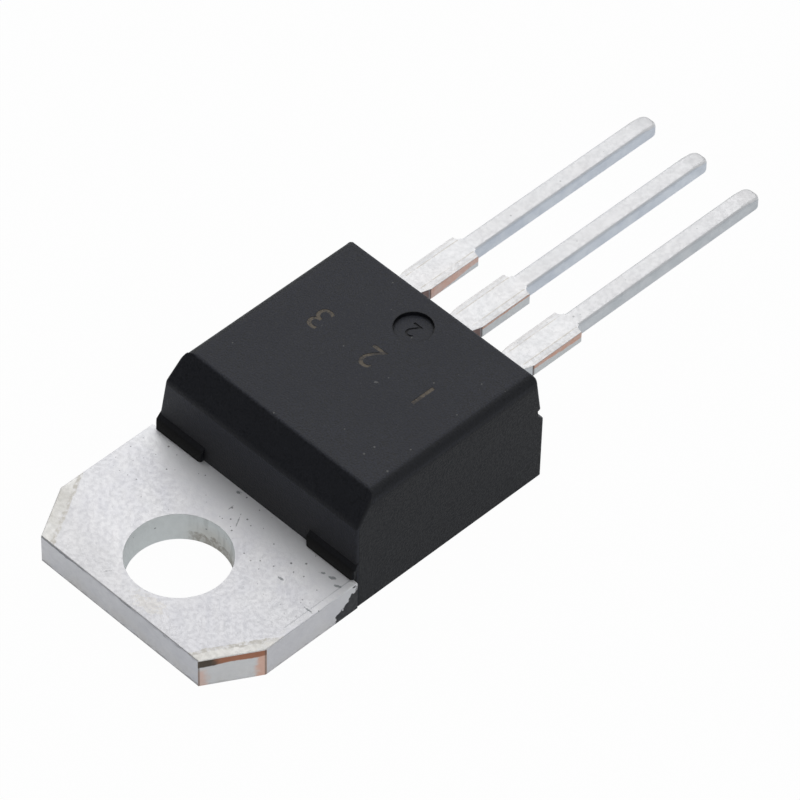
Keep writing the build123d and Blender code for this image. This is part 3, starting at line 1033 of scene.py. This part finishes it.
def make_lead_tin(name, across, bare_front, bare_rear, copper, neck, flank, pitted):
    """Bright tin on a lead whose middle is at x = across.

    Copper shows on the sheared stub side from its top edge down, by bare_front next to the
    body and bare_rear at the step. copper and neck are the colours of the side there, and
    flank picks the bright or the dull copy of the painted reflection on the shaft's side.
    pitted is the share of cells with a pit.
    """
    m = Finish(name)
    x, y, z = m.split(m.place)
    nx, nz = m.facing("XZ")
    off_middle = m.size_of(m.minus(x, across))
    from_tip = m.minus(LEAD_TIP, y)
    aside = m.size_of(nx)
    speckle, cloud = m.grain(size=0.14, cloud_size=0.6)
    broad_speckle, broad_cloud = m.grain(size=0.4, cloud_size=1.7)
    sides = m.fade(aside, 0.55, 0.9)
    top = m.fade(nz, 0.6, 0.9)
    m.color = m.blend(cloud, "lead shade", "lead light")
    m.tint("lead cloud", broad_cloud, 0.4)
    m.tint("lead speckle", broad_speckle, 0.35)
    # painted shade: the shaft is darkened against the stub, and its sloping tip more
    shaft_shade = m.fade(y, STUB_REAR - 0.2, STUB_REAR + 1.0, 0.0, 0.45)
    m.tint("painted shaft shade", m.most(shaft_shade, m.fade(from_tip, 1.0, 0.0, 0.0, 0.8)))
    # painted reflection: the sides are tinted bluish, in a bright or a dull copy
    m.tint(m.blend(cloud, flank + " side shade", flank + " side light"), sides)
    # the ridges pressed along the stub, and the wing's bright outer edge
    on_stub = m.between(y, STUB_FRONT - 0.3, STUB_REAR)
    ridge = m.times(m.between(off_middle, WING_INNER - 0.02, WING_INNER + 0.02), on_stub, top)
    m.tint("ridge", ridge, m.fade(broad_speckle, 0.1, 0.7, 0.3, 0.9))
    edge = m.times(m.between(off_middle, STUB_HALF - 0.11, STUB_HALF - 0.07), on_stub)
    m.tint("wing edge", edge, top, 0.35)
    m.tint("lead pit", m.flecks(spacing=0.5, radius=0.08, share=pitted), top, 0.5)
    # the sheared side of the stub
    sheared = m.times(m.between(y, STUB_FRONT - 0.08, STUB_REAR + 0.02), sides)
    m.tint("sheared side", sheared, 0.75)
    reach = m.fade(y, STUB_FRONT, STUB_REAR, bare_front, bare_rear)
    bare = m.band(m.minus(LEAD_TOP - WING_DROP, z), reach, raggedness=0.025, grain=0.3)
    m.tint(copper, bare, sheared, m.fade(broad_speckle, 0, 1, 0.75, 1.0))
    # the neck's side, and the dark corner where it meets the stub
    m.tint(neck, m.fade(y, STUB_FRONT - 0.06, STUB_FRONT - 0.14), sides, 0.9)
    m.tint("neck corner", m.between(y, STUB_FRONT - 0.10, STUB_FRONT - 0.03), sides, 0.75)
    # the tip's cut end is a little beige at its top edge
    m.tint("tip edge", m.fade(from_tip, 0.12, 0.03), m.between(nz, 0.1, 0.85, 0.1), 0.5)
    # painted highlight on the shaft's rolled edges, and dull where they roll over and where the tip
    # slopes down
    rolled = m.times(m.between(aside, 0.3, 0.8, 0.15), m.fade(y, STUB_REAR, STUB_REAR + 0.2))
    m.tint("rolled edge", rolled, 0.8)
    dull = m.most(rolled, m.fade(from_tip, 1.1, 0.5, 0.0, 0.45))
    rough = m.fade(speckle, 0, 1, 0.42, 0.54)
    return m.dress(rough, speckle, depth=0.0015, others={"Metallic": m.fade(dull, 0, 1, 0.8, 0.35)})


def make_inner_metal(name, color, roughness):
    """Plain metal or silicon inside the body, with a fine grain."""
    m = Finish(name)
    speckle, cloud = m.grain(size=0.05, cloud_size=0.6)
    darker = tuple(0.85 * part for part in COLORS[color])
    m.color = m.blend(speckle, darker, color)
    rough = m.fade(cloud, 0, 1, roughness, roughness + 0.1)
    return m.dress(rough, speckle, depth=0.002, others={"Metallic": 0.9})


# ---- Stage ----

FLOOR_SIZE = 1.6
FLOOR_GAP = 0.02  # in millimetres: it keeps the part's base clear of the floor's plane
PAPER_GLOW = 0.978  # how much of the paper that the camera sees is glow
DIM_AIR, PALE_AIR = 0.13, 0.42
PALE_HEADING = (0.83, 0.56, 0.0)
PART_MIDDLE = (0, 0.009, 0.002)
LAMPS = {  # place, size and power, in metres and watts
    "key": ((-0.22, 0.23, 0.335), 0.60, 1.35),
    "front_fill": ((0.30, -0.22, 0.36), 0.40, 0.5),
}

# Camera: degrees round the part, then millimetres
AZIMUTH, ELEVATION, ROLL = 44.642, 46.946, 1.248
CAMERA_AIM = (0, 9.0, 1.5)
CAMERA_RIGHT, CAMERA_UP, CAMERA_BACK = 1.083, 0.589, 220.29
LENS, SENSOR = 286.3, 36


def make_floor_paper():
    """Pale paper that looks white to the camera and keeps a faint shadow."""
    mat = bpy.data.materials.new("studio_paper")
    mat.use_nodes = True
    mat.cycles.emission_sampling = "NONE"  # its glow is a background, not a lamp
    n = Nodes(mat.node_tree)
    n.tree.nodes.clear()
    path = n.put("LightPath").outputs
    seen = n.most(path["Is Camera Ray"],
                  n.most(n.times(path["Is Glossy Ray"], 0.5), path["Is Transmission Ray"]))
    paper = n.put("BsdfDiffuse", {"Color": rgba("paper")})
    tint = n.blend(path["Is Camera Ray"], "cool white", "white")
    glow = n.put("Emission", {"Color": tint, "Strength": 1.0})
    both = n.put("MixShader", {
        "Fac": n.times(seen, PAPER_GLOW), 1: paper.outputs[0], 2: glow.outputs[0]})
    # seen from below the paper is clear, so that the part's base can be looked at
    below = n.put("NewGeometry").outputs["Backfacing"]
    clear = n.put("BsdfTransparent")
    side = n.put("MixShader", {"Fac": below, 1: both.outputs[0], 2: clear.outputs[0]})
    n.put("OutputMaterial", {"Surface": side.outputs[0]})
    return mat


def set_floor():
    bpy.ops.object.select_all(action="DESELECT")
    bpy.ops.mesh.primitive_plane_add(size=FLOOR_SIZE, location=(0, 0.01, -FLOOR_GAP * MM))
    floor = bpy.context.object
    floor.name = "studio_floor"
    floor.data.materials.append(make_floor_paper())


def set_air():
    """Air that is dim in front of the part and paler behind its right side."""
    world = bpy.data.worlds.new("studio_air")
    bpy.context.scene.world = world
    world.use_nodes = True
    n = Nodes(world.node_tree)
    coords = n.put("TexCoord").outputs["Generated"]
    heading = n.vector("DOT_PRODUCT", coords, PALE_HEADING)["Value"]
    air = n.tree.nodes["Background"]
    n.feed(air, {"Color": rgba("air"), "Strength": n.fade(heading, -0.2, 0.85, DIM_AIR, PALE_AIR)})
    white = n.put("Background", {"Color": rgba("white"), "Strength": 1.0})
    seen = n.put("LightPath").outputs["Is Camera Ray"]
    both = n.put("MixShader", {"Fac": seen, 1: air.outputs[0], 2: white.outputs[0]})
    n.feed(n.tree.nodes["World Output"], {"Surface": both.outputs[0]})


def add_lamp(name, place, size, power):
    data = bpy.data.lights.new(name, "AREA")
    data.shape = "RECTANGLE"
    data.size = data.size_y = size
    data.energy = power
    lamp = bpy.data.objects.new(name, data)
    bpy.context.collection.objects.link(lamp)
    lamp.location = place
    lamp.rotation_euler = (Vector(PART_MIDDLE) - Vector(place)).to_track_quat("-Z", "Y").to_euler()


def add_camera():
    """The camera, set by its angles round the part."""
    azimuth, elevation, roll = (math.radians(angle) for angle in (AZIMUTH, ELEVATION, ROLL))
    back = Vector((math.sin(azimuth) * math.cos(elevation),
                   -math.cos(azimuth) * math.cos(elevation),
                   math.sin(elevation)))
    right = Vector((0, 0, 1)).cross(back).normalized()
    up = back.cross(right)
    x_axis = math.cos(roll) * right + math.sin(roll) * up
    y_axis = -math.sin(roll) * right + math.cos(roll) * up
    place = (Vector(CAMERA_AIM) + CAMERA_RIGHT * x_axis + CAMERA_UP * y_axis + CAMERA_BACK * back) * MM
    data = bpy.data.cameras.new("camera")
    data.sensor_width = SENSOR
    data.lens = LENS
    data.clip_start = 0.01
    camera = bpy.data.objects.new("camera", data)
    bpy.context.collection.objects.link(camera)
    camera.matrix_world = Matrix.Translation(place) @ Matrix((x_axis, y_axis, back)).transposed().to_4x4()
    bpy.context.scene.camera = camera


def dress_inner_nodes():
    """Plain finishes for what the body hides."""
    aluminium = make_inner_metal("bond_aluminium", "aluminium", 0.3)
    for name, finish in (("triac_chip", make_inner_metal("silicon", "silicon", 0.25)),
                         ("chip_solder", make_inner_metal("solder", "solder", 0.45)),
                         ("a1_bond_wire", aluminium),
                         ("gate_bond_wire", aluminium)):
        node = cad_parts[name]
        node.data.materials.clear()
        node.data.materials.append(finish)


def main():
    set_floor()
    set_air()
    add_camera()
    for name, settings in LAMPS.items():
        add_lamp(name, *settings)
    make_grain_group()
    make_flecks_group()
    make_blot_group()
    make_streaks_group()
    make_ragged_group()
    make_body(make_epoxy())
    make_tab(make_tab_tin())
    centre = make_lead("centre_lead")
    near_lead = copy_lead(centre, "a1_lead", PITCH)
    far_lead = copy_lead(centre, "gate_lead", -PITCH)
    add_post(near_lead, 1)
    add_post(far_lead, -1)
    for lead in (centre, near_lead, far_lead):
        shade(lead, LEAD_SHARP)
    centre_tin = make_lead_tin("centre_lead_tin", 0, bare_front=0.10, bare_rear=0.07,
                               copper="centre copper", neck="red neck", flank="bright", pitted=0.08)
    near_tin = make_lead_tin("near_lead_tin", PITCH, bare_front=0.15, bare_rear=0.27,
                             copper="near copper", neck="tin neck", flank="dull", pitted=0.2)
    far_tin = make_lead_tin("far_lead_tin", -PITCH, bare_front=0.48, bare_rear=0.25,
                            copper="far copper", neck="red neck", flank="bright", pitted=0.08)
    hand_over(centre, ["heat_tab"], centre_tin)
    make_strap(centre_tin)
    hand_over(near_lead, ["lead_a1"], near_tin)
    hand_over(far_lead, ["lead_gate"], far_tin)
    dress_inner_nodes()


main()
bpy.context.scene.view_settings.view_transform = "Standard"
